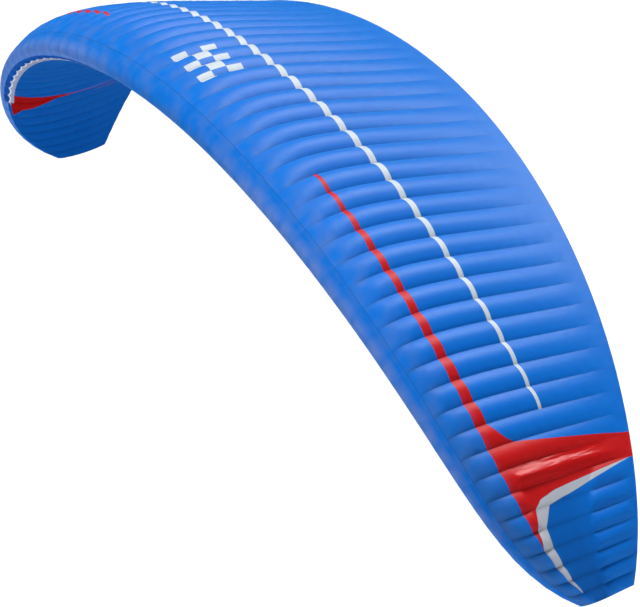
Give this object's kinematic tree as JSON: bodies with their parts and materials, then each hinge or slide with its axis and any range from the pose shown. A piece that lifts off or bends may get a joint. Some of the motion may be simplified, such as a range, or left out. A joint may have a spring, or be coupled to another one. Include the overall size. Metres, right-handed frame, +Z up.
{
  "type": "paraglider wing",
  "caption": "Inflated ram-air paraglider wing: an arched, tapered canopy of cloth cells with inlets under a smooth nose, in blue with red and white graphics.",
  "frame": {"origin": "on the lower skin under the middle rib at 30% of the chord, where the pull of the lines is centred", "axes": "+X to the wing's right tip, -Y forwards to the leading edge, +Z up"},
  "size_m": [10.494, 2.2816, 2.8009],
  "materials": {
    "upper_cloth": "coated ripstop cloth, soft sheen",
    "nose_cloth": "coated ripstop cloth, soft sheen",
    "band_cloth": "coated ripstop cloth, soft sheen",
    "lower_cloth": "coated ripstop cloth, soft sheen",
    "rib_cloth": "hard-finished ripstop cloth, matt"
  },
  "bodies": {
    "root": {"inlet_band_left_1": "band_cloth", "inlet_band_left_2": "band_cloth", "inlet_band_left_3": "band_cloth", "inlet_band_left_4": "band_cloth", "inlet_band_right_1": "band_cloth", "inlet_band_right_2": "band_cloth", "inlet_band_right_3": "band_cloth", "inlet_band_right_4": "band_cloth", "lower_skin_left_1": "lower_cloth", "lower_skin_left_2": "lower_cloth", "lower_skin_left_3": "lower_cloth", "lower_skin_left_4": "lower_cloth", "lower_skin_left_5": "lower_cloth", "lower_skin_right_1": "lower_cloth", "lower_skin_right_2": "lower_cloth", "lower_skin_right_3": "lower_cloth", "lower_skin_right_4": "lower_cloth", "lower_skin_right_5": "lower_cloth", "nose_left_1": "nose_cloth", "nose_left_2": "nose_cloth", "nose_left_3": "nose_cloth", "nose_left_4": "nose_cloth", "nose_left_5": "nose_cloth", "nose_right_1": "nose_cloth", "nose_right_2": "nose_cloth", "nose_right_3": "nose_cloth", "nose_right_4": "nose_cloth", "nose_right_5": "nose_cloth", "rib_middle": "rib_cloth", "rib_left_06": "rib_cloth", "rib_left_12": "rib_cloth", "rib_left_17": "rib_cloth", "rib_left_22": "rib_cloth", "rib_left_30": "rib_cloth", "rib_right_06": "rib_cloth", "rib_right_12": "rib_cloth", "rib_right_17": "rib_cloth", "rib_right_22": "rib_cloth", "rib_right_30": "rib_cloth", "upper_skin_left_1": "upper_cloth", "upper_skin_left_2": "upper_cloth", "upper_skin_left_3": "upper_cloth", "upper_skin_left_4": "upper_cloth", "upper_skin_left_5": "upper_cloth", "upper_skin_right_1": "upper_cloth", "upper_skin_right_2": "upper_cloth", "upper_skin_right_3": "upper_cloth", "upper_skin_right_4": "upper_cloth", "upper_skin_right_5": "upper_cloth"}
  },
  "joints": []
}
